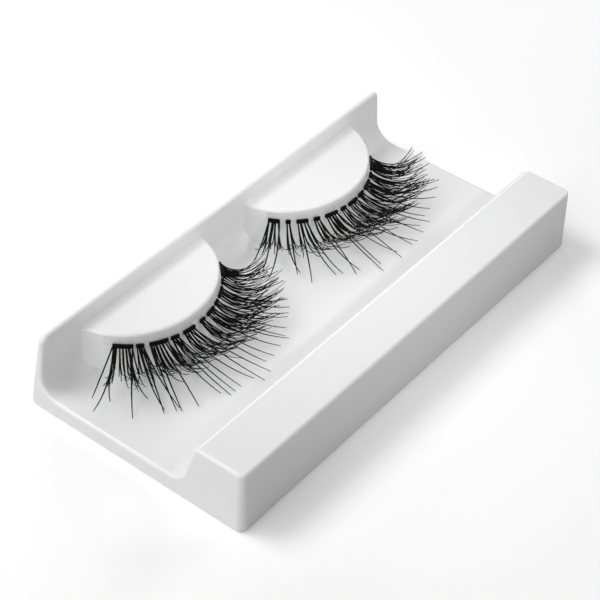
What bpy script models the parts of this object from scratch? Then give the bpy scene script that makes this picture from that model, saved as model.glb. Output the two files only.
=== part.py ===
"""A pair of false eyelash strips on the moulded tray that holds them.

Metres, +Z up. The tray's long side runs along X, its low front bar is at -Y
and its back wall at +Y. The origin is the middle of the tray's footprint.
Each strip is a thin clear band round an eyelid-shaped boss, with clusters of
hair knotted to it. A cluster is one solid: a knot bar and its locks of hair.
"""
import math

import bmesh
import bpy
from mathutils import Vector

MM = 0.001

# Tray, seen from the end: a front bar, a low floor and an upright back wall
TRAY_LENGTH = 105.0 * MM
TRAY_WIDTH = 50.6 * MM
FLOOR_HEIGHT = 3.7 * MM
BAR_HEIGHT = 14.0 * MM
RIM_HEIGHT = 16.2 * MM
BAR_TOP_DEPTH = 11.1 * MM        # the flat top of the bar, front to back
BAR_SLOPE_RUN = 2.7 * MM         # how far the bar's inner wall leans out
FRONT_LEAN = 0.4 * MM
BACK_LEAN = 1.0 * MM
END_LEAN = 0.3 * MM
BACK_WALL = 1.4 * MM
BACK_INNER_LEAN = 0.9 * MM
SKIN = 1.2 * MM                  # plastic round the hollow underside
BAR_ROUND = 1.0 * MM
RIM_ROUND = 0.6 * MM
FOOT_FILLET = 2.2 * MM
COVE_FILLET = 4.2 * MM
END_ROUND = 0.5 * MM
ARC_STEPS = 4

# Bosses, half an ellipse each, against the back wall
BOSS_SPACING = 48.0 * MM
BOSS_HALF_LENGTH = 16.7 * MM
BOSS_DEPTH = 14.0 * MM
BOSS_HEIGHT = 12.6 * MM
BOSS_LEAN = 0.5 * MM             # how much wider the boss is at the floor
BOSS_ROUND = 0.6 * MM
BOSS_SIDES = 56

# Lash strips
BAND_START_DEG = 160.0           # angle round the boss, from its right end
BAND_END_DEG = 24.0
BAND_THICKNESS = 0.35 * MM
BAND_WIDTH = 2.2 * MM
BAND_GAP = 0.3 * MM              # clear of the boss, and of the knots
BAND_STEPS = 36
KNOT_HEIGHT = 0.9 * MM
KNOT_DEPTH = 0.6 * MM
KNOT_LEVEL = 9.6 * MM            # middle of the knots above the table
KNOT_BELOW_BAND = 0.7 * MM       # knots sit this far under the band's middle
END_RISE = 0.7 * MM              # the strip climbs by this much at its ends
HAIR_REACH = 10.6 * MM           # how far the dense hair stands out
SPIKE_REACH = 14.2 * MM          # the same for the long wispy hair
HAIR_DROP = 9.4 * MM             # the hair's first slope, over its reach
HAIR_LIFT = 11.2 * MM            # and the curl that brings its tip up again
SPIKE_DROP = 9.6 * MM
SPIKE_LIFT = 5.2 * MM
HAIR_SWEEP_DEG = 10.0            # mid strip, the hair leans right by this angle
LOCK_STEPS = 7
LOCK_RIM = 0.08 * MM             # bare edge round each lock's root
TIP_WIDTH = 0.30 * MM
TIP_HEIGHT = 0.26 * MM

# A row for each cluster: where its knot starts and ends along the band, as
# shares of the band's length, its hair's reach as a share of the full one,
# and how much of the spikes' extra length its long locks have
CLUSTER_COLUMNS = ("start", "end", "reach", "spikes")
LEFT_CLUSTERS = (
    (0.043, 0.145, 1.00, 1.0),
    (0.156, 0.198, 0.94, 0.6),
    (0.221, 0.321, 1.02, 1.0),
    (0.334, 0.383, 0.96, 1.0),
    (0.406, 0.485, 1.04, 1.0),
    (0.523, 0.561, 1.00, 1.0),
    (0.582, 0.650, 1.06, 1.0),
    (0.667, 0.705, 1.00, 1.0),
    (0.724, 0.800, 1.02, 0.5),
    (0.820, 0.858, 0.92, 0.2),
    (0.878, 0.970, 0.72, 0.0),
)
RIGHT_CLUSTERS = (
    (0.008, 0.071, 0.74, 0.2),
    (0.099, 0.127, 0.90, 0.6),
    (0.155, 0.221, 1.00, 1.0),
    (0.249, 0.287, 0.98, 1.0),
    (0.317, 0.398, 1.04, 1.0),
    (0.421, 0.459, 1.00, 1.0),
    (0.479, 0.553, 1.06, 1.0),
    (0.571, 0.620, 1.04, 1.0),
    (0.642, 0.721, 1.04, 0.6),
    (0.744, 0.782, 0.98, 0.2),
    (0.807, 0.911, 0.96, 0.0),
)
STRIPS = (("left", -0.5, LEFT_CLUSTERS), ("right", 0.5, RIGHT_CLUSTERS))

# A row for each lock of a cluster: its reach as a share of the dense hair's,
# and how much of it is a long spike, from 0 for none to 1 for all
LOCK_COLUMNS = ("reach", "spike")
WIDE_LOCKS = ((0.96, 0.0), (1.00, 0.8), (1.02, 0.0), (0.98, 1.0), (1.00, 0.1))
NARROW_LOCKS = ((0.96, 0.1), (1.00, 0.9), (0.98, 0.0))
WIDE_KNOT = 2.1 * MM             # a knot longer than this has the wide locks


# Helpers

def make_collection(name):
    collection = bpy.data.collections.new(name)
    bpy.context.scene.collection.children.link(collection)
    return collection


def material(name, color, roughness, alpha=1.0):
    mat = bpy.data.materials.new(name)
    mat.use_nodes = True
    shader = mat.node_tree.nodes["Principled BSDF"]
    shader.inputs["Base Color"].default_value = (*color, 1.0)
    shader.inputs["Roughness"].default_value = roughness
    shader.inputs["Metallic"].default_value = 0.0
    shader.inputs["Alpha"].default_value = alpha
    mat.diffuse_color = (*color, alpha)
    return mat


def object_from(bm, name, collection, mat=None):
    """Turn a finished bmesh into a named object."""
    mesh = bpy.data.meshes.new(name)
    bm.to_mesh(mesh)
    bm.free()
    if mat:
        mesh.materials.append(mat)
    obj = bpy.data.objects.new(name, mesh)
    collection.objects.link(obj)
    return obj


def fillet(corner, before, after, radius, steps):
    """Points of an arc of this radius that rounds one corner of an outline."""
    corner = Vector(corner)
    to_before = (Vector(before) - corner).normalized()
    to_after = (Vector(after) - corner).normalized()
    half = to_before.angle(to_after) / 2
    setback = radius / math.tan(half)
    start = corner + to_before * setback
    end = corner + to_after * setback
    centre = corner + (to_before + to_after).normalized() * radius / math.sin(half)
    points = []
    for step in range(steps + 1):
        chord = start.lerp(end, step / steps) - centre
        points.append(centre + chord.normalized() * radius)
    return points


def rounded_outline(corners, steps):
    """A closed outline from rows of y, z and the radius of that corner."""
    points = []
    for i, (y, z, radius) in enumerate(corners):
        if radius == 0:
            points.append(Vector((y, z)))
            continue
        before = corners[i - 1][:2]
        after = corners[(i + 1) % len(corners)][:2]
        points += fillet((y, z), before, after, radius, steps)
    return points


# Tray

def tray_outline():
    """The tray's outer section in Y and Z, from the front foot over the rim.

    It starts END_ROUND under the table, and is trimmed there once it is round.
    """
    front, back = -TRAY_WIDTH / 2, TRAY_WIDTH / 2
    front_foot = front - FRONT_LEAN * END_ROUND / BAR_HEIGHT
    back_foot = back + BACK_LEAN * END_ROUND / RIM_HEIGHT
    bar_front = front + FRONT_LEAN
    bar_inner = bar_front + BAR_TOP_DEPTH
    rim_outer = back - BACK_LEAN
    rim_inner = rim_outer - BACK_WALL
    return [
        (front_foot, -END_ROUND, 0),
        (bar_front, BAR_HEIGHT, BAR_ROUND),
        (bar_inner, BAR_HEIGHT, BAR_ROUND),
        (bar_inner + BAR_SLOPE_RUN, FLOOR_HEIGHT, FOOT_FILLET),
        (rim_inner + BACK_INNER_LEAN, FLOOR_HEIGHT, COVE_FILLET),
        (rim_inner, RIM_HEIGHT, RIM_ROUND),
        (rim_outer, RIM_HEIGHT, RIM_ROUND),
        (back_foot, -END_ROUND, 0),
    ]


def hollow_outline():
    """The section of the hollow under the bar and the floor."""
    front = -TRAY_WIDTH / 2 + SKIN
    bar_front = front + FRONT_LEAN
    bar_inner = -TRAY_WIDTH / 2 + FRONT_LEAN + BAR_TOP_DEPTH - SKIN
    roof = FLOOR_HEIGHT - SKIN
    back = TRAY_WIDTH / 2 - BACK_WALL
    return [
        (front, -SKIN, 0),
        (bar_front, BAR_HEIGHT - SKIN, 0),
        (bar_inner, BAR_HEIGHT - SKIN, 0),
        (bar_inner + BAR_SLOPE_RUN, roof, 0),
        (back, roof, 0),
        (back, -SKIN, 0),
    ]


def cut_flat(bm, point, outward):
    """Cut a mesh off at a plane and close it there."""
    cut = bmesh.ops.bisect_plane(bm, geom=bm.verts[:] + bm.edges[:] + bm.faces[:],
                                 plane_co=point, plane_no=outward, clear_outer=True)
    open_edges = [item for item in cut["geom_cut"] if isinstance(item, bmesh.types.BMEdge)]
    bmesh.ops.edgeloop_fill(bm, edges=open_edges)


def extruded_section(name, outline, length, collection, round_ends):
    """A section run along X, with ends that lean in and are slightly rounded."""
    curve = bpy.data.curves.new(name, "CURVE")
    curve.dimensions = "2D"
    curve.fill_mode = "BOTH"
    curve.extrude = length / 2
    points = rounded_outline(outline, ARC_STEPS)
    spline = curve.splines.new("POLY")
    spline.points.add(len(points) - 1)
    for spot, point in zip(spline.points, points):
        spot.co = (point.x, point.y, 0, 1)
    spline.use_cyclic_u = True
    source = bpy.data.objects.new(name, curve)
    collection.objects.link(source)
    bpy.context.view_layer.update()
    graph = bpy.context.evaluated_depsgraph_get()
    mesh = bpy.data.meshes.new_from_object(source.evaluated_get(graph))
    bpy.data.objects.remove(source)
    bm = bmesh.new()
    bm.from_mesh(mesh)
    bmesh.ops.remove_doubles(bm, verts=bm.verts, dist=1e-6)
    for vert in bm.verts:                      # the curve's plane to Y and Z
        y, z, x = vert.co
        vert.co = (x, y, z)
    bmesh.ops.dissolve_limit(bm, angle_limit=math.radians(0.1),
                             verts=bm.verts, edges=bm.edges)
    if round_ends:
        rims = [edge for edge in bm.edges
                if abs(edge.verts[0].co.x - edge.verts[1].co.x) < 1e-6]
        bmesh.ops.bevel(bm, geom=rims, offset=END_ROUND, segments=2, profile=0.5,
                        affect="EDGES", clamp_overlap=True)
        cut_flat(bm, (0, 0, 0), (0, 0, -1))
    for vert in bm.verts:
        lean = END_LEAN * vert.co.z / RIM_HEIGHT
        vert.co.x *= 1 - 2 * lean / length
    bmesh.ops.triangulate(bm, faces=bm.faces)
    bmesh.ops.recalc_face_normals(bm, faces=bm.faces)
    return object_from(bm, name, collection)


def half_ellipse(name, centre_x, half_length, depth, low, high, rear, lean, rounding,
                 collection):
    """An upright boss: an elliptic cone cut flat at its rear."""
    bm = bmesh.new()
    bmesh.ops.create_cone(bm, cap_ends=True, segments=BOSS_SIDES,
                          radius1=half_length + lean, radius2=half_length, depth=high - low)
    boss_y = rear_wall_y()
    for vert in bm.verts:
        vert.co.y *= depth / half_length
        vert.co += Vector((centre_x, boss_y, (low + high) / 2))
    if rounding:
        top = [edge for edge in bm.edges
               if all(abs(vert.co.z - high) < 1e-6 for vert in edge.verts)]
        bmesh.ops.bevel(bm, geom=top, offset=rounding, segments=2, profile=0.5,
                        affect="EDGES")
    cut_flat(bm, (0, rear, 0), (0, 1, 0))
    bmesh.ops.recalc_face_normals(bm, faces=bm.faces)
    return object_from(bm, name, collection)


def rear_wall_y():
    """Where the bosses meet the back wall's inner face."""
    rim_inner = TRAY_WIDTH / 2 - BACK_LEAN - BACK_WALL
    return rim_inner + BACK_INNER_LEAN * (1 - BOSS_HEIGHT / RIM_HEIGHT)


def combine(target, other, operation):
    modifier = target.modifiers.new(other.name, "BOOLEAN")
    modifier.operation = operation
    modifier.solver = "EXACT"
    modifier.object = other
    other.hide_render = True
    other.display_type = "WIRE"


def build_tray(parts, cutters, mat):
    tray = extruded_section("display_tray", tray_outline(), TRAY_LENGTH, parts, True)
    tray.data.materials.append(mat)
    under = extruded_section("tray_hollow", hollow_outline(), TRAY_LENGTH - 2 * SKIN,
                             cutters, False)
    wall_rear = rear_wall_y() + BACK_WALL / 2
    hollow_rear = TRAY_WIDTH / 2 - BACK_LEAN - BACK_WALL
    inside_floor = FLOOR_HEIGHT - SKIN / 2
    under_floor = (FLOOR_HEIGHT - SKIN) / 2
    hollows = [under]
    for side in (-0.5, 0.5):
        boss = half_ellipse("boss_outside", side * BOSS_SPACING, BOSS_HALF_LENGTH, BOSS_DEPTH,
                            inside_floor, BOSS_HEIGHT, wall_rear, BOSS_LEAN, BOSS_ROUND, cutters)
        combine(tray, boss, "UNION")
        hollows.append(half_ellipse("boss_inside", side * BOSS_SPACING,
                                    BOSS_HALF_LENGTH - SKIN, BOSS_DEPTH - SKIN,
                                    under_floor, BOSS_HEIGHT - SKIN, hollow_rear,
                                    BOSS_LEAN, 0, cutters))
    for hollow in hollows:
        combine(tray, hollow, "DIFFERENCE")
    return tray


# Lash strips

class BandPath:
    """The line round one boss that its strip follows, by length from the left."""

    def __init__(self, side):
        self.centre = Vector((side * BOSS_SPACING, rear_wall_y()))
        stand_off = BOSS_LEAN * (BOSS_HEIGHT - KNOT_LEVEL) / (BOSS_HEIGHT - FLOOR_HEIGHT)
        self.radii = Vector((BOSS_HALF_LENGTH + stand_off, BOSS_DEPTH + stand_off))
        steps = 400
        start, end = math.radians(BAND_START_DEG), math.radians(BAND_END_DEG)
        self.angles = [start + (end - start) * i / steps for i in range(steps + 1)]
        self.lengths = [0.0]
        for a, b in zip(self.angles, self.angles[1:]):
            self.lengths.append(self.lengths[-1] + (self.spot(b) - self.spot(a)).length)
        self.length = self.lengths[-1]

    def spot(self, angle):
        return Vector((self.centre.x + self.radii.x * math.cos(angle),
                       self.centre.y - self.radii.y * math.sin(angle)))

    def angle_at(self, along):
        """The angle at a length along the band."""
        along = min(max(along, 0.0), self.length)
        i = next(i for i, length in enumerate(self.lengths[1:]) if length >= along)
        share = (along - self.lengths[i]) / (self.lengths[i + 1] - self.lengths[i])
        return self.angles[i] + (self.angles[i + 1] - self.angles[i]) * share

    def place(self, along, out, up):
        """World point: along the band, out from the boss, above the knot line."""
        angle = self.angle_at(along)
        normal = Vector((math.cos(angle) / self.radii.x, -math.sin(angle) / self.radii.y))
        normal.normalize()
        share = along / self.length
        sweep = math.radians(HAIR_SWEEP_DEG) * math.sin(math.pi * share)
        beyond = max(out - knot_front(), 0.0)
        sideways = Vector((-normal.y, normal.x)) * math.tan(sweep) * beyond
        flat = self.spot(angle) + normal * out + sideways
        rise = END_RISE * (2 * share - 1) ** 2
        return Vector((flat.x, flat.y, KNOT_LEVEL + rise + up))


def knot_back():
    return 2 * BAND_GAP + BAND_THICKNESS


def knot_front():
    return knot_back() + KNOT_DEPTH


def build_band(side_name, path, parts, mat):
    """The clear band: a thin strip bent round the boss."""
    bm = bmesh.new()
    bmesh.ops.create_cube(bm, size=1.0)
    lengthwise = [edge for edge in bm.edges
                  if abs(edge.verts[0].co.x - edge.verts[1].co.x) > 0.5]
    bmesh.ops.subdivide_edges(bm, edges=lengthwise, cuts=BAND_STEPS - 1, use_grid_fill=True)
    for vert in bm.verts:
        along = (vert.co.x + 0.5) * path.length
        out = BAND_GAP + (vert.co.y + 0.5) * BAND_THICKNESS
        up = KNOT_BELOW_BAND + vert.co.z * BAND_WIDTH
        vert.co = path.place(along, out, up)
    bmesh.ops.reverse_faces(bm, faces=bm.faces)    # out from the boss is towards -Y
    return object_from(bm, f"{side_name}_lash_band", parts, mat)


def lock_height(share, spike):
    """How far a lock has dropped or curled up, at a share of its reach."""
    drop = HAIR_DROP + (SPIKE_DROP - HAIR_DROP) * spike
    lift = HAIR_LIFT + (SPIKE_LIFT - HAIR_LIFT) * spike
    return lift * share ** 2 - drop * share


def grow_lock(bm, face, reach, spike):
    """Draw one face of the knot out into a curved, tapering lock."""
    root = [vert.co.copy() for vert in face.verts]
    middle = sum(root, Vector()) / len(root)
    width = max(co.x for co in root) - min(co.x for co in root)
    height = max(co.z for co in root) - min(co.z for co in root)
    for step in range(1, LOCK_STEPS + 1):
        share = step / LOCK_STEPS
        grown = bmesh.ops.extrude_discrete_faces(bm, faces=[face])
        face = grown["faces"][0]
        wide = 1 + (TIP_WIDTH / width - 1) * share
        tall = 1 + (TIP_HEIGHT / height - 1) * share
        up = lock_height(share, spike)
        for vert, co in zip(face.verts, root):
            off = co - middle
            vert.co = Vector((middle.x + off.x * wide, middle.y + reach * share,
                              middle.z + off.z * tall + up))


def build_cluster(name, path, row, parts, mat):
    """A knot bar on the band with its locks of hair, as one solid."""
    cluster = dict(zip(CLUSTER_COLUMNS, row))
    start, end = cluster["start"] * path.length, cluster["end"] * path.length
    locks = WIDE_LOCKS if end - start > WIDE_KNOT else NARROW_LOCKS
    bm = bmesh.new()
    bmesh.ops.create_cube(bm, size=1.0)
    lengthwise = [edge for edge in bm.edges
                  if abs(edge.verts[0].co.x - edge.verts[1].co.x) > 0.5]
    bmesh.ops.subdivide_edges(bm, edges=lengthwise, cuts=len(locks) - 1, use_grid_fill=True)
    for vert in bm.verts:
        vert.co = Vector((start + (vert.co.x + 0.5) * (end - start),
                          knot_back() + (vert.co.y + 0.5) * KNOT_DEPTH,
                          vert.co.z * KNOT_HEIGHT))
    front = [face for face in bm.faces
             if all(abs(vert.co.y - knot_front()) < 1e-7 for vert in face.verts)]
    front.sort(key=lambda face: face.calc_center_median().x)
    bmesh.ops.inset_individual(bm, faces=front, thickness=LOCK_RIM, use_even_offset=True)
    for face, lock_row in zip(front, locks):
        lock = dict(zip(LOCK_COLUMNS, lock_row))
        spike = lock["spike"] * cluster["spikes"]
        full = HAIR_REACH + (SPIKE_REACH - HAIR_REACH) * spike
        grow_lock(bm, face, full * lock["reach"] * cluster["reach"], spike)
    for vert in bm.verts:
        vert.co = path.place(vert.co.x, vert.co.y, vert.co.z)
    bmesh.ops.reverse_faces(bm, faces=bm.faces)
    return object_from(bm, name, parts, mat)


def main():
    for obj in list(bpy.data.objects):
        bpy.data.objects.remove(obj)
    parts = make_collection("false_eyelash_strips")
    cutters = make_collection("cutters")
    build_tray(parts, cutters, material("white_plastic", (0.86, 0.86, 0.86), 0.25))
    clear = material("clear_band", (0.85, 0.86, 0.87), 0.2, 0.5)
    hair = material("black_hair", (0.012, 0.011, 0.011), 0.45)
    for side_name, side, rows in STRIPS:
        path = BandPath(side)
        build_band(side_name, path, parts, clear)
        for number, row in enumerate(rows, start=1):
            build_cluster(f"{side_name}_lash_cluster_{number:02d}", path, row, parts, hair)


main()
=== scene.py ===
"""Looks of a pair of false eyelash strips on their white display tray.

Metres, in the tray's own frame: +X along the tray, +Y to its back wall, +Z up.
"""
import math
import random

import bmesh
import bpy
from mathutils import Matrix, Vector


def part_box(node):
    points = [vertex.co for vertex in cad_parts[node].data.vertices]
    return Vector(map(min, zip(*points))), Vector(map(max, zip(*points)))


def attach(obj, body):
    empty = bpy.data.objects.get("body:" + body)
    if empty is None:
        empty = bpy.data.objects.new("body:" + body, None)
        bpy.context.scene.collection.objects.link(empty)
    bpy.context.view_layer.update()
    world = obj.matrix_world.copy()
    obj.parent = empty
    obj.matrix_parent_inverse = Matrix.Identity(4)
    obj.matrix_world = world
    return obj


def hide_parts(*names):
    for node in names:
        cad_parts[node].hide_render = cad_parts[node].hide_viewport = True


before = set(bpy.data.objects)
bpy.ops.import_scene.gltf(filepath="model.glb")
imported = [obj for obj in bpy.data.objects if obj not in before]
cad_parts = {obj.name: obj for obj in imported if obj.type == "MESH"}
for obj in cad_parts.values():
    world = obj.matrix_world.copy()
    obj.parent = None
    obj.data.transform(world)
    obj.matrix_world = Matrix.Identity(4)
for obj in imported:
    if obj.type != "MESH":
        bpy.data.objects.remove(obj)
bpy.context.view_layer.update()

# Display tray
# One thin shell of satin white polystyrene, moulded with a front bar, a low
# floor, an upright back wall and two eyelid-shaped bosses for the strips. It
# is open underneath, so trays stack, and its edges are softly rounded.

MM = 0.001
tray_low, tray_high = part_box("display_tray")
TRAY_LENGTH = tray_high.x - tray_low.x
TRAY_WIDTH = tray_high.y - tray_low.y
RIM_HEIGHT = tray_high.z
FLOOR_HEIGHT = 3.7 * MM
BAR_HEIGHT = 14.0 * MM
BAR_TOP_DEPTH = 11.1 * MM
BAR_SLOPE_RUN = 2.7 * MM
FRONT_LEAN = 0.4 * MM
BACK_LEAN = 1.0 * MM
END_LEAN = 0.3 * MM
WALL_END_LEAN = 1.2 * MM         # the back wall's ends lean in further
BACK_WALL = 1.4 * MM
SKIN = 1.2 * MM
COVE_FILLET = 4.2 * MM
FOOT_FILLET = 3.2 * MM
INNER_EDGE_ROUND = 1.1 * MM      # the bar's long edge towards the strips
BAR_CORNER_ROUND = 1.5 * MM      # the bar's upright corners
RIM_END_ROUND = 1.4 * MM         # the back wall's two upper corners
EDGE_ROUND = 0.65 * MM           # every other outer edge
SOLE_CHAMFER = 0.45 * MM         # the edge that stands on the table

BOSS_SPACING = 48.0 * MM
BOSS_HALF_LENGTH = 17.5 * MM
BOSS_DEPTH = 15.4 * MM
BOSS_HEIGHT = 12.6 * MM
BOSS_LEAN = 0.5 * MM
BOSS_ROUND = 0.6 * MM
BOSS_SIDES = 144
RIM_INNER_Y = TRAY_WIDTH / 2 - BACK_LEAN - BACK_WALL
BOSS_CENTRE_Y = 25.1 * MM        # behind the wall, which cuts the ellipse short


def select_where(kind, test):
    """In edit mode, select just the verts, edges or faces that pass a test."""
    bpy.ops.mesh.select_mode(type=kind)
    bpy.ops.mesh.select_all(action="DESELECT")
    bm = bmesh.from_edit_mesh(bpy.context.object.data)
    for part in {"VERT": bm.verts, "EDGE": bm.edges, "FACE": bm.faces}[kind]:
        if test(part):
            part.select_set(True)
    bmesh.update_edit_mesh(bpy.context.object.data)


def near(a, b, reach=2e-5):
    return abs(a - b) < reach


def runs_along(edge, axis):
    """Whether an edge is parallel to the axis 0, 1 or 2, give or take a lean."""
    line = edge.verts[1].co - edge.verts[0].co
    return abs(line[axis]) > 0.9 * line.length


def is_sharp(edge, least_deg=25):
    return len(edge.link_faces) == 2 and edge.calc_face_angle() > math.radians(least_deg)


def section_block(name, corners, length):
    """Draw a section point by point, fill it and pull it out along X."""
    bpy.ops.object.select_all(action="DESELECT")
    y, z = corners[0]
    bpy.ops.mesh.primitive_plane_add(size=MM, location=(-length / 2, y, z))
    block = bpy.context.object
    block.name = name
    bpy.ops.object.transform_apply(location=True, rotation=True, scale=True)
    bpy.ops.object.mode_set(mode="EDIT")
    bpy.ops.mesh.select_mode(type="VERT")
    bpy.ops.mesh.select_all(action="SELECT")
    bpy.ops.mesh.merge(type="CENTER")
    for next_y, next_z in corners[1:]:
        bpy.ops.mesh.extrude_region_move(
            TRANSFORM_OT_translate={"value": (0, next_y - y, next_z - z)})
        y, z = next_y, next_z
    bpy.ops.mesh.select_all(action="SELECT")
    bpy.ops.mesh.edge_face_add()
    bpy.ops.mesh.extrude_region_move(TRANSFORM_OT_translate={"value": (length, 0, 0)})
    bpy.ops.mesh.select_all(action="SELECT")
    bpy.ops.mesh.normals_make_consistent(inside=False)
    return block


def lean_ends(bm, length):
    """Draw both ends in as they rise, so that the tray leaves its mould."""
    for vert in bm.verts:
        vert.co.x *= 1 - 2 * END_LEAN * vert.co.z / RIM_HEIGHT / length


def boss_block(name, side, half_length, depth, low, high, rear, rounding):
    """The front of an elliptic block, wider at its foot, cut off at y = rear."""
    bpy.ops.object.select_all(action="DESELECT")
    bpy.ops.mesh.primitive_cone_add(
        vertices=BOSS_SIDES, radius1=half_length + BOSS_LEAN, radius2=half_length,
        depth=high - low, location=(side * BOSS_SPACING, BOSS_CENTRE_Y, (low + high) / 2),
        scale=(1, depth / half_length, 1))
    boss = bpy.context.object
    boss.name = name
    bpy.ops.object.transform_apply(location=True, rotation=True, scale=True)
    bpy.ops.object.mode_set(mode="EDIT")
    if rounding:
        select_where("EDGE", lambda edge: all(near(vert.co.z, high) for vert in edge.verts))
        bpy.ops.mesh.bevel(offset=rounding, segments=5, affect="EDGES")
    bpy.ops.mesh.select_all(action="SELECT")
    bpy.ops.mesh.bisect(plane_co=(0, rear, 0), plane_no=(0, 1, 0), use_fill=True,
                        clear_outer=True)
    bpy.ops.object.mode_set(mode="OBJECT")
    return boss


def carve(target, tool, operation):
    """Join or cut one block with another, then throw the tool away."""
    bpy.ops.object.select_all(action="DESELECT")
    target.select_set(True)
    bpy.context.view_layer.objects.active = target
    modifier = target.modifiers.new("carve", "BOOLEAN")
    modifier.operation = operation
    modifier.solver = "EXACT"
    modifier.object = tool
    bpy.ops.object.modifier_apply(modifier=modifier.name)
    bpy.data.objects.remove(tool)


def tray_block():
    """The tray's outer form without its bosses."""
    front, back = -TRAY_WIDTH / 2, TRAY_WIDTH / 2
    bar_inner = front + FRONT_LEAN + BAR_TOP_DEPTH
    block = section_block("moulded_tray", [
        (front, 0), (front + FRONT_LEAN, BAR_HEIGHT), (bar_inner, BAR_HEIGHT),
        (bar_inner + BAR_SLOPE_RUN, FLOOR_HEIGHT),
        (RIM_INNER_Y, FLOOR_HEIGHT), (RIM_INNER_Y, RIM_HEIGHT),
        (back - BACK_LEAN, RIM_HEIGHT), (back, 0)], TRAY_LENGTH)
    bm = bmesh.from_edit_mesh(block.data)
    lean_ends(bm, TRAY_LENGTH)
    for at_y, radius, steps in ((bar_inner + BAR_SLOPE_RUN, FOOT_FILLET, 8),
                                (RIM_INNER_Y, COVE_FILLET, 14)):
        select_where("EDGE", lambda edge: runs_along(edge, 0) and all(
            near(vert.co.y, at_y) and near(vert.co.z, FLOOR_HEIGHT) for vert in edge.verts))
        bpy.ops.mesh.bevel(offset=radius, segments=steps, affect="EDGES")
    select_where("EDGE", lambda edge: runs_along(edge, 0) and all(
        near(vert.co.y, bar_inner) and near(vert.co.z, BAR_HEIGHT) for vert in edge.verts))
    bpy.ops.mesh.bevel(offset=INNER_EDGE_ROUND, segments=5, affect="EDGES")
    select_where("EDGE", lambda edge: runs_along(edge, 1) and is_sharp(edge) and all(
        near(vert.co.z, RIM_HEIGHT) for vert in edge.verts))
    bpy.ops.mesh.bevel(offset=RIM_END_ROUND, segments=6, affect="EDGES")
    select_where("EDGE", lambda edge: runs_along(edge, 2) and is_sharp(edge) and any(
        near(vert.co.y, front) and near(vert.co.z, 0) for vert in edge.verts))
    bpy.ops.mesh.bevel(offset=BAR_CORNER_ROUND, segments=8, affect="EDGES")
    select_where("EDGE", lambda edge: is_sharp(edge) and max(
        vert.co.z for vert in edge.verts) > MM and edge.is_convex)
    bpy.ops.mesh.bevel(offset=EDGE_ROUND, segments=4, affect="EDGES")
    select_where("EDGE", lambda edge: is_sharp(edge) and all(
        near(vert.co.z, 0) for vert in edge.verts))
    bpy.ops.mesh.bevel(offset=SOLE_CHAMFER, segments=1, affect="EDGES")
    hinge = FLOOR_HEIGHT + EDGE_ROUND
    select_where("FACE", lambda face: abs(face.normal.x) > 0.9)
    bpy.ops.mesh.bisect(plane_co=(0, 0, hinge), plane_no=(0, 0, 1))
    for vert in bmesh.from_edit_mesh(block.data).verts:
        if vert.co.y > 0 and vert.co.z > hinge:
            rise = (vert.co.z - hinge) / (RIM_HEIGHT - hinge)
            vert.co.x *= 1 - 2 * WALL_END_LEAN * rise / TRAY_LENGTH
    bpy.ops.mesh.select_all(action="SELECT")
    bpy.ops.mesh.quads_convert_to_tris()  # flat faces, so that every cut closes
    bpy.ops.object.mode_set(mode="OBJECT")
    return block


def hollow_block():
    """The space under the bar and the floor, which is cut out of the block."""
    front = -TRAY_WIDTH / 2 + SKIN
    bar_inner = front + FRONT_LEAN + BAR_TOP_DEPTH - 2 * SKIN
    roof = FLOOR_HEIGHT - SKIN
    back = TRAY_WIDTH / 2 - BACK_WALL
    block = section_block("hollow", [
        (front, -SKIN), (front + FRONT_LEAN, BAR_HEIGHT - SKIN), (bar_inner, BAR_HEIGHT - SKIN),
        (bar_inner + BAR_SLOPE_RUN, roof), (back, roof), (back, -SKIN)], TRAY_LENGTH - 2 * SKIN)
    lean_ends(bmesh.from_edit_mesh(block.data), TRAY_LENGTH - 2 * SKIN)
    bpy.ops.mesh.quads_convert_to_tris()
    bpy.ops.object.mode_set(mode="OBJECT")
    return block


tray = tray_block()
for side in (-0.5, 0.5):
    carve(tray, boss_block("boss", side, BOSS_HALF_LENGTH, BOSS_DEPTH,
                           FLOOR_HEIGHT - SKIN / 2, BOSS_HEIGHT,
                           RIM_INNER_Y + BACK_WALL / 2, BOSS_ROUND), "UNION")
carve(tray, hollow_block(), "DIFFERENCE")
for side in (-0.5, 0.5):
    carve(tray, boss_block("boss_hollow", side, BOSS_HALF_LENGTH - SKIN, BOSS_DEPTH - SKIN,
                           (FLOOR_HEIGHT - SKIN) / 2, BOSS_HEIGHT - SKIN,
                           RIM_INNER_Y, 0), "DIFFERENCE")
bpy.ops.object.shade_smooth_by_angle(angle=math.radians(32))
weighted = tray.modifiers.new("weighted", "WEIGHTED_NORMAL")
weighted.keep_sharp = True
bpy.ops.object.modifier_apply(modifier=weighted.name)

PLASTIC_WHITE = (0.90, 0.90, 0.90, 1.0)


def new_material(name, colour, roughness):
    """A material with its Principled shader, and a short way to add nodes."""
    mat = bpy.data.materials.new(name)
    mat.use_nodes = True
    shader = mat.node_tree.nodes["Principled BSDF"]
    shader.inputs["Base Color"].default_value = colour
    shader.inputs["Roughness"].default_value = roughness
    return mat, mat.node_tree.nodes, mat.node_tree.links, shader


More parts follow.
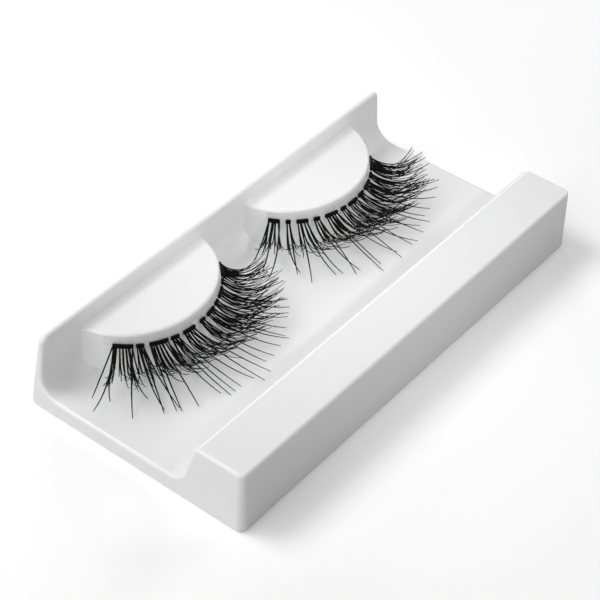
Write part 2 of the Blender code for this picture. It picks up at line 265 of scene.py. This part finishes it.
def make_mottle_group():
    """Node group: soft uneven patches over a surface, as a mask from 0 to 1."""
    group = bpy.data.node_groups.new("mottle", "ShaderNodeTree")
    for name, value in (("Patch Size", 0.01), ("Contrast", 1.0)):
        socket = group.interface.new_socket(name, in_out="INPUT", socket_type="NodeSocketFloat")
        socket.default_value = value
    group.interface.new_socket("Mask", in_out="OUTPUT", socket_type="NodeSocketFloat")
    nodes, links = group.nodes, group.links
    inside, outside = nodes.new("NodeGroupInput"), nodes.new("NodeGroupOutput")
    where = nodes.new("ShaderNodeTexCoord")
    scale = nodes.new("ShaderNodeMath")
    scale.operation = "DIVIDE"
    scale.inputs[0].default_value = 1.0
    noise = nodes.new("ShaderNodeTexNoise")
    noise.inputs["Detail"].default_value = 4.0
    spread = nodes.new("ShaderNodeMath")
    spread.operation = "MULTIPLY_ADD"
    spread.inputs[2].default_value = 0.5
    centred = nodes.new("ShaderNodeMath")
    centred.operation = "SUBTRACT"
    centred.inputs[1].default_value = 0.5
    links.new(inside.outputs["Patch Size"], scale.inputs[1])
    links.new(where.outputs["Object"], noise.inputs["Vector"])
    links.new(scale.outputs[0], noise.inputs["Scale"])
    links.new(noise.outputs["Fac"], centred.inputs[0])
    links.new(centred.outputs[0], spread.inputs[0])
    links.new(inside.outputs["Contrast"], spread.inputs[1])
    links.new(spread.outputs[0], outside.inputs["Mask"])
    return group


mottle_group = make_mottle_group()


def add_mottle(nodes, patch_size, contrast):
    node = nodes.new("ShaderNodeGroup")
    node.node_tree = mottle_group
    node.inputs["Patch Size"].default_value = patch_size
    node.inputs["Contrast"].default_value = contrast
    return node


def add_range(nodes, links, mask, low, high):
    """Map a mask from 0..1 to low..high."""
    spread = nodes.new("ShaderNodeMapRange")
    spread.inputs["To Min"].default_value = low
    spread.inputs["To Max"].default_value = high
    links.new(mask, spread.inputs["Value"])
    return spread.outputs["Result"]


def add_bump(nodes, links, shader, height, strength, distance):
    bump = nodes.new("ShaderNodeBump")
    bump.inputs["Strength"].default_value = strength
    bump.inputs["Distance"].default_value = distance
    links.new(height, bump.inputs["Height"])
    links.new(bump.outputs["Normal"], shader.inputs["Normal"])


def white_plastic():
    """Satin white polystyrene: a faint orange peel and slightly uneven gloss."""
    mat, nodes, links, shader = new_material(
        "satin_white_plastic", PLASTIC_WHITE, roughness=0.3)
    gloss = add_mottle(nodes, patch_size=9 * MM, contrast=1.2)
    links.new(add_range(nodes, links, gloss.outputs["Mask"], low=0.26, high=0.42),
              shader.inputs["Roughness"])
    peel = add_mottle(nodes, patch_size=0.9 * MM, contrast=1.0)
    add_bump(nodes, links, shader, peel.outputs["Mask"], strength=0.12, distance=0.02 * MM)
    shader.inputs["IOR"].default_value = 1.5
    return mat


tray.data.materials.clear()
tray.data.materials.append(white_plastic())
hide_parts("display_tray")
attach(tray, "root")

# Lash bands
# A false lash band is a cotton thread coated with clear flexible glue. Here it
# is a thin clear strip that grips the side of each boss, and the knots of hair
# hang from its lower edge. Its ends climb a little, as on the lid.

BAND_START_DEG = 154.5           # angle round the boss, from its right end
BAND_END_DEG = 27.0
BAND_GAP = 0.03 * MM
BAND_THICKNESS = 0.12 * MM
BAND_WIDTH = 2.2 * MM
BAND_PIECES = 96
BAND_ROUND = 0.05 * MM
LINE_STEPS = 400
KNOT_LEVEL = 9.8 * MM
KNOT_BELOW_BAND = 0.7 * MM       # from the band's middle down to the knots'
END_RISE = 0.7 * MM              # how far the strip climbs at both ends
KNOT_BACK = BAND_GAP + BAND_THICKNESS


class BandLine:
    """The line round one boss that its strip follows, by length from the left."""

    def __init__(self, side):
        stand_off = BOSS_LEAN * (BOSS_HEIGHT - KNOT_LEVEL) / (BOSS_HEIGHT - FLOOR_HEIGHT)
        self.centre = Vector((side * BOSS_SPACING, BOSS_CENTRE_Y))
        self.radii = Vector((BOSS_HALF_LENGTH + stand_off, BOSS_DEPTH + stand_off))
        start, end = math.radians(BAND_START_DEG), math.radians(BAND_END_DEG)
        self.angles = [start + (end - start) * i / LINE_STEPS for i in range(LINE_STEPS + 1)]
        self.lengths = [0.0]
        for a, b in zip(self.angles, self.angles[1:]):
            self.lengths.append(self.lengths[-1] + (self.spot(b) - self.spot(a)).length)
        self.length = self.lengths[-1]

    def spot(self, angle):
        return Vector((self.centre.x + self.radii.x * math.cos(angle),
                       self.centre.y - self.radii.y * math.sin(angle)))

    def place(self, along, out, up):
        """World point: along the band, straight out from the boss, and up."""
        share = min(max(along / self.length, 0.0), 1.0)
        least = share * self.length * 0.999999  # a touch short, so the very end is found
        i = next(i for i, length in enumerate(self.lengths[1:]) if length >= least)
        step = (share * self.length - self.lengths[i]) / (self.lengths[i + 1] - self.lengths[i])
        angle = self.angles[i] + (self.angles[i + 1] - self.angles[i]) * step
        normal = Vector((math.cos(angle) / self.radii.x, -math.sin(angle) / self.radii.y))
        normal.normalize()
        tangent = Vector((-normal.y, normal.x))
        flat = self.spot(angle) + normal * out
        rise = END_RISE * (2 * share - 1) ** 2
        return Vector((flat.x, flat.y, KNOT_LEVEL + rise + up)), normal, tangent


def model_band(name, line):
    """A flat strip, cut into short lengths and laid round its boss."""
    bpy.ops.object.select_all(action="DESELECT")
    bpy.ops.mesh.primitive_cube_add(size=1.0)
    band = bpy.context.object
    band.name = name
    bpy.ops.object.mode_set(mode="EDIT")
    select_where("EDGE", lambda edge: runs_along(edge, 0))
    bpy.ops.mesh.subdivide(number_cuts=BAND_PIECES - 1)
    for vert in bmesh.from_edit_mesh(band.data).verts:
        vert.co = line.place((vert.co.x + 0.5) * line.length,
                             BAND_GAP + (vert.co.y + 0.5) * BAND_THICKNESS,
                             KNOT_BELOW_BAND + vert.co.z * BAND_WIDTH)[0]
    bpy.ops.mesh.select_all(action="SELECT")
    bpy.ops.mesh.normals_make_consistent(inside=False)
    select_where("EDGE", is_sharp)
    bpy.ops.mesh.bevel(offset=BAND_ROUND, segments=2, affect="EDGES")
    bpy.ops.object.mode_set(mode="OBJECT")
    bpy.ops.object.shade_smooth_by_angle(angle=math.radians(50))
    return band


GLUE_WHITE = (0.86, 0.86, 0.86, 1.0)


def clear_film():
    """Clear dried glue: see-through, a little milky, with an uneven skin."""
    mat, nodes, links, shader = new_material("clear_glue_film", GLUE_WHITE, roughness=0.25)
    milk = add_mottle(nodes, patch_size=1.4 * MM, contrast=1.6)
    links.new(add_range(nodes, links, milk.outputs["Mask"], low=0.03, high=0.11),
              shader.inputs["Alpha"])
    skin = add_mottle(nodes, patch_size=0.5 * MM, contrast=1.0)
    add_bump(nodes, links, shader, skin.outputs["Mask"], strength=0.3, distance=0.05 * MM)
    return mat


film = clear_film()
band_lines = {"left": BandLine(-0.5), "right": BandLine(0.5)}
for side_name, line in band_lines.items():
    band = model_band(f"{side_name}_clear_band", line)
    band.data.materials.append(film)
    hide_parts(f"{side_name}_lash_band")
    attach(band, "root")

# Hair clusters
# Fine black synthetic hairs, gathered into bundles and glued to the band in
# short knot bars, wide and narrow by turns. The dense hair curls up at its tips,
# and a few long wispy hairs in each cluster reach past it and droop.

HAIR_REACH = 11.2 * MM           # how far the dense hair stands out
HAIR_DROP = 9.4 * MM             # its first slope, over its reach
HAIR_LIFT = 11.2 * MM            # and the curl that brings its tip up again
END_FLATTEN = 0.18               # the share of the curl lost at a strip's ends
HAIR_SWEEP_DEG = 10.0            # mid strip, the hair leans right by this angle
END_TURN_DEG = 12.0              # and at the right end it turns back to the left
HAIR_THICKNESS = 0.23 * MM
LONG_HAIR_THICKNESS = 1.4 * HAIR_THICKNESS
TIP_TAPER = 0.5                  # the share of its thickness lost at a tip
TIP_POWER = 2.5                  # tips taper and turn aside late along the hair
HAIR_POINTS = 10
REACH_RANGE = (0.72, 1.06)       # between which shares of the full values hairs vary
DROP_RANGE = (0.88, 1.08)
LIFT_RANGE = (0.85, 1.15)
THICKNESS_RANGE = (0.8, 1.15)
ROOT_SCATTER = 0.06 * MM         # along the band, to both sides of the bundle
ROOT_OUT_RANGE = (0.1 * MM, 0.5 * MM)    # out from the knot's back
ROOT_UP_RANGE = (-0.25 * MM, 0.1 * MM)   # up from the knot's middle
HAIR_BOW = 0.6 * MM              # how far a dense hair's tip strays aside
HAIR_BOW_GAIN = 1.0 * MM         # and how much further it does at the right end
LONG_HAIR_DROP = 0.9 * HAIR_DROP
LONG_ROOT_OUT = 0.4 * MM
LONG_ROOT_UP = -0.1 * MM
KNOT_DEPTH = 0.6 * MM
KNOT_HEIGHT = 0.9 * MM
KNOT_PIECES = 8
KNOT_ROUND = 0.22 * MM

# A row for each cluster: where its knot starts and ends along the band, as
# shares of the band's length, and its dense hair's reach as a share of the
# full one. Then its long hairs: root as a share of the knot, lean to the right
# in degrees, and in millimetres its reach and how far below its root it ends.
CLUSTER_COLUMNS = ("start", "end", "reach", "long_hairs")
LONG_HAIR_COLUMNS = ("root", "lean", "reach", "droop")
CLUSTERS = {
    "left": (
        (0.043, 0.145, 1.00, ((0.03, -23, 9.2, 5.0), (0.22, -19, 8.8, 5.3),
                              (0.16, -8, 12.0, 5.3), (0.75, 3, 9.0, 5.0), (0.95, -13, 13.0, 5.6))),
        (0.156, 0.198, 0.94, ((0.3, 3, 12.0, 5.4), (0.6, 6, 12.5, 5.6), (0.8, 12, 13.0, 5.0))),
        (0.221, 0.321, 1.02, ((0.1, -2, 12.5, 5.6), (0.3, -4, 12.8, 5.6), (0.6, 5, 13.0, 5.6),
                              (0.9, 14, 13.0, 5.4))),
        (0.334, 0.383, 0.96, ((0.2, 10, 14.2, 5.6), (0.5, 12, 14.0, 5.6), (0.8, 16, 14.0, 5.4))),
        (0.406, 0.485, 1.04, ((0.1, 10, 14.4, 5.4), (0.5, 12, 16.0, 5.4), (0.8, 14, 15.8, 5.2))),
        (0.523, 0.561, 1.00, ((0.3, 4, 13.2, 5.2), (0.7, 8, 14.0, 5.2))),
        (0.582, 0.650, 1.12, ((0.2, 6, 14.0, 5.0), (0.5, 10, 15.0, 4.8), (0.8, 12, 14.0, 4.6))),
        (0.667, 0.705, 1.08, ((0.3, 6, 13.5, 4.0), (0.7, 12, 13.5, 3.4))),
        (0.724, 0.800, 1.04, ((0.2, 0, 13.2, 2.6), (0.6, 4, 13.2, 2.0), (0.8, 6, 12.6, 1.0))),
        (0.820, 0.858, 0.96, ((0.5, 2, 11.6, -0.5),)),
        (0.878, 0.970, 0.80, ((0.2, 6, 10.6, -0.6), (0.6, 4, 9.6, -1.0), (0.9, 2, 8.8, -1.3))),
    ),
    "right": (
        (0.008, 0.071, 0.90, ((0.1, -12, 8.4, 4.2), (0.5, -6, 9.8, 5.0), (0.95, -2, 10.6, 5.4))),
        (0.099, 0.127, 1.00, ((0.3, -4, 9.4, 5.0), (0.7, 2, 9.8, 5.2))),
        (0.155, 0.221, 1.06, ((0.3, -2, 12.0, 5.6), (0.6, 7, 11.6, 5.4), (0.8, 9, 11.8, 5.4))),
        (0.249, 0.287, 1.02, ((0.4, 6, 12.4, 5.4), (0.8, 12, 12.6, 5.4))),
        (0.317, 0.398, 1.04, ((0.2, 12, 14.8, 5.6), (0.5, 10, 13.0, 5.4), (0.9, 14, 13.4, 5.2))),
        (0.421, 0.459, 1.00, ((0.3, 12, 14.2, 5.4), (0.7, 16, 15.2, 5.4))),
        (0.479, 0.553, 1.06, ((0.2, 10, 14.0, 5.0), (0.6, 14, 13.6, 4.6), (0.9, 14, 14.4, 4.4))),
        (0.571, 0.620, 1.10, ((0.3, 12, 14.6, 4.2), (0.7, 14, 13.2, 3.6))),
        (0.642, 0.721, 1.05, ((0.2, 10, 13.4, 3.4), (0.5, 12, 14.2, 2.4), (0.8, 12, 14.4, 1.6))),
        (0.744, 0.782, 1.00, ((0.3, 8, 14.2, 1.0), (0.7, 8, 13.0, 0.0))),
        (0.807, 0.911, 0.95, ((0.3, 4, 12.0, -0.2), (0.7, 4, 11.4, -0.8), (0.95, 2, 10.8, -1.2))),
    ),
}
BUNDLE_PITCH = 0.56 * MM
BUNDLE_HAIRS = 4
BUNDLE_FAN_DEG = 4.0             # the outer bundles of a knot lean out by this
BUNDLE_STRAY_DEG = 2.0
HAIR_STRAY_DEG = 1.4
LONG_HAIR_BOW = 1.1 * MM         # how far a long hair's tip strays aside


def hair_line(line, along, out, up, lean_deg, reach, height, bow):
    """Points of one hair, from its root out to its tip.

    height(share) is how far it has risen at a share of its reach, and bow is
    how far its tip turns aside, in metres.
    """
    root, normal, tangent = line.place(along, out, up)
    share = along / line.length
    sweep = HAIR_SWEEP_DEG * math.sin(math.pi * share) - END_TURN_DEG * share ** 3
    lean = math.radians(sweep + lean_deg)
    away = normal * math.cos(lean) + tangent * math.sin(lean)
    aside = Vector((-away.y, away.x))
    points = []
    for i in range(HAIR_POINTS):
        step = i / (HAIR_POINTS - 1)
        flat = root.xy + away * reach * step + aside * bow * step ** TIP_POWER
        points.append(Vector((flat.x, flat.y, root.z + height(step))))
    return points


def draw_hair(curve, points, thickness):
    """Add one hair to a curve: full at its root, fine at its tip."""
    spline = curve.splines.new("POLY")
    spline.points.add(len(points) - 1)
    for i, (spot, point) in enumerate(zip(spline.points, points)):
        step = i / (len(points) - 1)
        spot.co = (*point, 1.0)
        spot.radius = thickness * (1.0 - TIP_TAPER * step ** TIP_POWER)


def model_knot(name, line, start, end):
    """The glued knot bar: a rounded bar that follows the band."""
    bpy.ops.object.select_all(action="DESELECT")
    bpy.ops.mesh.primitive_cube_add(size=1.0)
    knot = bpy.context.object
    knot.name = name
    bpy.ops.object.mode_set(mode="EDIT")
    select_where("EDGE", lambda edge: runs_along(edge, 0))
    bpy.ops.mesh.subdivide(number_cuts=KNOT_PIECES - 1)
    for vert in bmesh.from_edit_mesh(knot.data).verts:
        vert.co = line.place(start + (vert.co.x + 0.5) * (end - start),
                             KNOT_BACK + (vert.co.y + 0.5) * KNOT_DEPTH,
                             vert.co.z * KNOT_HEIGHT)[0]
    bpy.ops.mesh.select_all(action="SELECT")
    bpy.ops.mesh.normals_make_consistent(inside=False)
    select_where("EDGE", lambda edge: is_sharp(edge, 50))
    bpy.ops.mesh.bevel(offset=KNOT_ROUND, segments=3, affect="EDGES")
    bpy.ops.object.mode_set(mode="OBJECT")
    bpy.ops.object.shade_smooth_by_angle(angle=math.radians(60))
    return knot


def model_cluster(side_name, number, row, line):
    """One cluster: its knot bar, bundles of dense hair and a few long hairs."""
    cluster = dict(zip(CLUSTER_COLUMNS, row))
    chance = random.Random(100 * number + len(side_name))
    start, end = cluster["start"] * line.length, cluster["end"] * line.length
    knot = model_knot(f"{side_name}_hair_cluster_{number:02d}", line, start, end)
    curve = bpy.data.curves.new("hairs", "CURVE")
    curve.dimensions = "3D"
    curve.bevel_depth = 0.5
    curve.bevel_resolution = 0
    curve.use_fill_caps = True
    bundles = max(2, round((end - start) / BUNDLE_PITCH))
    middle = (bundles - 1) / 2
    for bundle in range(bundles):
        bundle_lean = BUNDLE_FAN_DEG * (bundle - middle) / middle
        bundle_lean += chance.uniform(-BUNDLE_STRAY_DEG, BUNDLE_STRAY_DEG)
        bundle_at = start + (end - start) * (bundle + 0.5) / bundles
        share = bundle_at / line.length
        curl = 1 - END_FLATTEN * (2 * share - 1) ** 2
        for _ in range(BUNDLE_HAIRS):
            along = bundle_at + chance.uniform(-ROOT_SCATTER, ROOT_SCATTER)
            lean = bundle_lean + chance.gauss(0, HAIR_STRAY_DEG)
            reach = HAIR_REACH * cluster["reach"] * chance.uniform(*REACH_RANGE)
            drop = HAIR_DROP * chance.uniform(*DROP_RANGE)
            lift = HAIR_LIFT * chance.uniform(*LIFT_RANGE) * curl
            points = hair_line(line, along, KNOT_BACK + chance.uniform(*ROOT_OUT_RANGE),
                               chance.uniform(*ROOT_UP_RANGE), lean, reach,
                               lambda step: lift * step ** 2 - drop * step,
                               chance.gauss(0, HAIR_BOW + HAIR_BOW_GAIN * share))
            draw_hair(curve, points, HAIR_THICKNESS * chance.uniform(*THICKNESS_RANGE))
    for long_row in cluster["long_hairs"]:
        hair = dict(zip(LONG_HAIR_COLUMNS, long_row))
        lift = LONG_HAIR_DROP - hair["droop"] * MM
        points = hair_line(line, start + (end - start) * hair["root"],
                           KNOT_BACK + LONG_ROOT_OUT, LONG_ROOT_UP, hair["lean"],
                           hair["reach"] * MM,
                           lambda step: lift * step ** 2 - LONG_HAIR_DROP * step,
                           chance.gauss(0, LONG_HAIR_BOW))
        draw_hair(curve, points, LONG_HAIR_THICKNESS)
    hairs = bpy.data.objects.new("hairs", curve)
    bpy.context.scene.collection.objects.link(hairs)
    bpy.ops.object.select_all(action="DESELECT")
    hairs.select_set(True)
    bpy.context.view_layer.objects.active = hairs
    bpy.ops.object.convert(target="MESH")
    knot.select_set(True)
    bpy.context.view_layer.objects.active = knot
    bpy.ops.object.join()
    return knot


HAIR_BLACK = (0.004, 0.004, 0.004, 1.0)


def black_hair():
    """Jet black polyester hair: a soft uneven sheen, and so fine that light gets past."""
    mat, nodes, links, shader = new_material("black_hair", HAIR_BLACK, roughness=0.5)
    strand = add_mottle(nodes, patch_size=0.35 * MM, contrast=2.2)
    links.new(add_range(nodes, links, strand.outputs["Mask"], low=0.34, high=0.62),
              shader.inputs["Roughness"])
    shader.inputs["Specular IOR Level"].default_value = 0.08
    ray_kind = nodes.new("ShaderNodeLightPath")
    links.new(add_range(nodes, links, ray_kind.outputs["Is Shadow Ray"], low=1.0, high=0.3),
              shader.inputs["Alpha"])
    return mat


hair_material = black_hair()
for side_name, rows in CLUSTERS.items():
    for number, row in enumerate(rows, start=1):
        piece = model_cluster(side_name, number, row, band_lines[side_name])
        piece.data.materials.clear()
        piece.data.materials.append(hair_material)
        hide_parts(f"{side_name}_lash_cluster_{number:02d}")
        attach(piece, "root")

# Studio
# A white table under soft boxes behind the tray and at its left, with weaker
# ones at the right and in front, a spot on the back wall and a long lens. The
# table looks whiter than it bounces, so the tray's front stays in shade.

bpy.ops.object.select_all(action="DESELECT")
bpy.ops.mesh.primitive_plane_add(size=4.0, location=(0, 0, -0.02 * MM))
table_top = bpy.context.object
table_top.name = "table_top"
table_material, nodes, links, shader = new_material(
    "white_table", (1.0, 1.0, 1.0, 1.0), roughness=0.9)
shader.inputs["Specular IOR Level"].default_value = 0.0
ray_kind = nodes.new("ShaderNodeLightPath")
links.new(add_range(nodes, links, ray_kind.outputs["Is Camera Ray"], low=0.60, high=1.15),
          shader.inputs["Base Color"])
table_top.data.materials.append(table_material)

# Each soft box: its name, its place, its width, both in metres, and its watts
SOFT_BOXES = (
    ("rear_box", (-0.22, 0.51, 0.84), 0.4, 3.7),
    ("left_box", (-0.82, 0.16, 0.55), 1.3, 7.7),
    ("right_box", (0.85, -0.10, 0.42), 0.6, 2.6),
    ("back_right_box", (0.60, 0.74, 0.32), 0.4, 1.8),
    ("low_front_box", (0.30, -0.88, 0.28), 0.6, 0.65),
)
for name, place, width, watts in SOFT_BOXES:
    bpy.ops.object.light_add(type="AREA", location=place)
    box = bpy.context.object
    box.name = name
    box.data.size = width
    box.data.energy = watts
    box.rotation_euler = (-box.location).to_track_quat("-Z", "Y").to_euler()

SPOT_PLACE = Vector((0.0, -0.29, 0.35))
SPOT_AIM = Vector((8, 24, 13)) * MM      # the back wall, a little right of its middle
bpy.ops.object.light_add(type="SPOT", location=SPOT_PLACE)
wall_spot = bpy.context.object
wall_spot.name = "wall_spot"
wall_spot.data.energy = 3.1
wall_spot.data.spot_size = math.radians(16)
wall_spot.data.spot_blend = 1.0
wall_spot.data.shadow_soft_size = 0.04
wall_spot.rotation_euler = (SPOT_AIM - SPOT_PLACE).to_track_quat("-Z", "Y").to_euler()

world = bpy.data.worlds.new("studio_glow")
bpy.context.scene.world = world
world.use_nodes = True
world.node_tree.nodes["Background"].inputs["Color"].default_value = (1, 1, 1, 1)
world.node_tree.nodes["Background"].inputs["Strength"].default_value = 0.09
bpy.context.scene.view_settings.view_transform = "Standard"

CAMERA_LENS = 120.9
CAMERA_PLACE = Vector((-238.88, -168.12, 266.44)) * MM
CAMERA_AZIMUTH = math.radians(-54.36)
CAMERA_ELEVATION = math.radians(41.86)
CAMERA_ROLL = math.radians(3.75)
back = Vector((math.sin(CAMERA_AZIMUTH) * math.cos(CAMERA_ELEVATION),
               -math.cos(CAMERA_AZIMUTH) * math.cos(CAMERA_ELEVATION),
               math.sin(CAMERA_ELEVATION)))
bpy.ops.object.camera_add(location=CAMERA_PLACE)
camera = bpy.context.object
camera.rotation_mode = "QUATERNION"
level = (-back).to_track_quat("-Z", "Y").to_matrix()
camera.rotation_quaternion = (level @ Matrix.Rotation(CAMERA_ROLL, 3, "Z")).to_quaternion()
camera.data.lens = CAMERA_LENS
camera.data.clip_start = 0.01
bpy.context.scene.camera = camera
